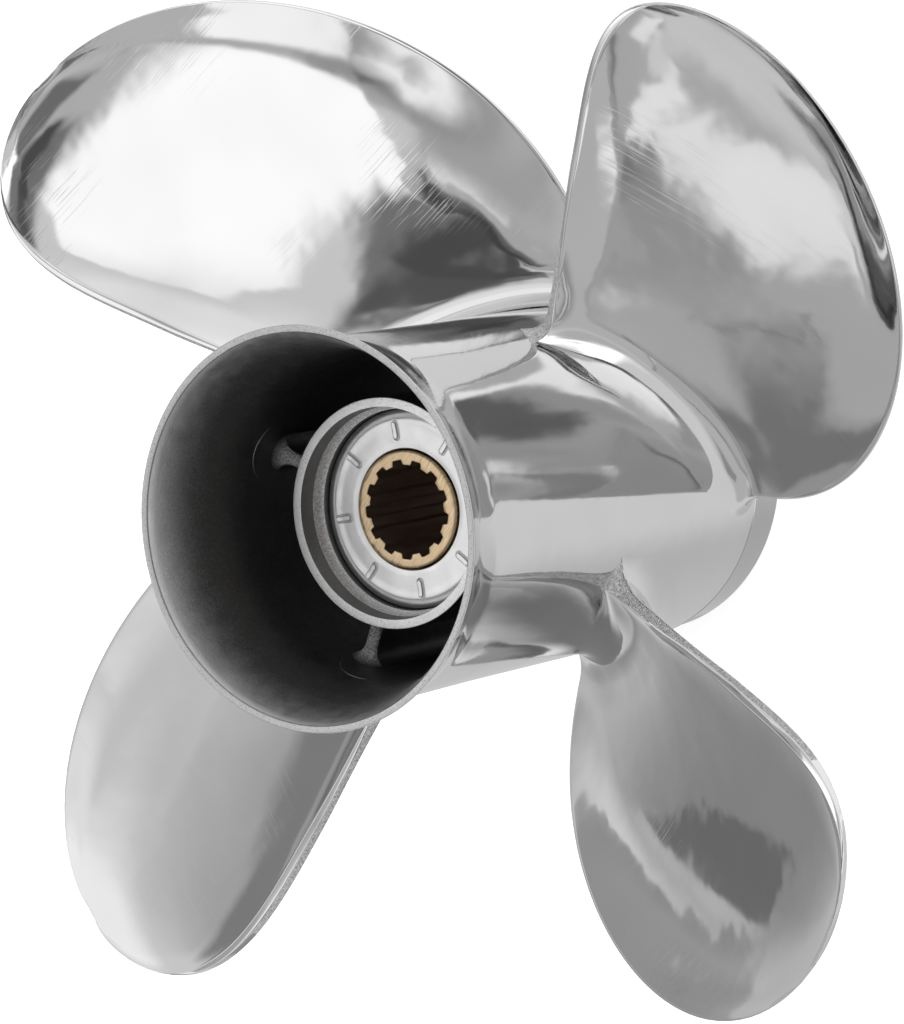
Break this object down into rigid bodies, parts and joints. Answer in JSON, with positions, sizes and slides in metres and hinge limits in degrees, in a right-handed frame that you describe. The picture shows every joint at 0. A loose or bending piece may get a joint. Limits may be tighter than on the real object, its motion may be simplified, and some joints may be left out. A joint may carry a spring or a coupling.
{
  "type": "boat propeller",
  "caption": "Through-hub-exhaust boat propeller with raked cupped blades, a flared polished hub, webs to an inner hub, and a rubber-cushioned splined sleeve under a ribbed washer.",
  "frame": {"origin": "centre of the forward face of the hub, on the shaft axis; the propeller stands on this face", "axes": "+Z along the shaft axis, pointing aft out of the flared end of the hub; the blades repeat every quarter turn about it"},
  "size_m": [0.2516, 0.2516, 0.135],
  "materials": {
    "polished_stainless": "mirror-polished cast stainless steel with faint buffing lines",
    "blasted_stainless": "as-cast stainless steel, bead blasted, matte and grainy",
    "black_rubber": "moulded black rubber, matte",
    "satin_steel": "pressed steel sheet, satin",
    "machined_brass": "turned brass with fine machining lines on its end face"
  },
  "bodies": {
    "root": {"outer_hub": "polished_stainless", "blade_1": "polished_stainless", "blade_2": "polished_stainless", "blade_3": "polished_stainless", "blade_4": "polished_stainless", "inner_hub": "blasted_stainless", "web_1": "blasted_stainless", "web_2": "blasted_stainless", "web_3": "blasted_stainless", "web_4": "blasted_stainless", "rubber_bush": "black_rubber", "end_washer": "satin_steel", "splined_sleeve": "machined_brass"}
  },
  "joints": []
}
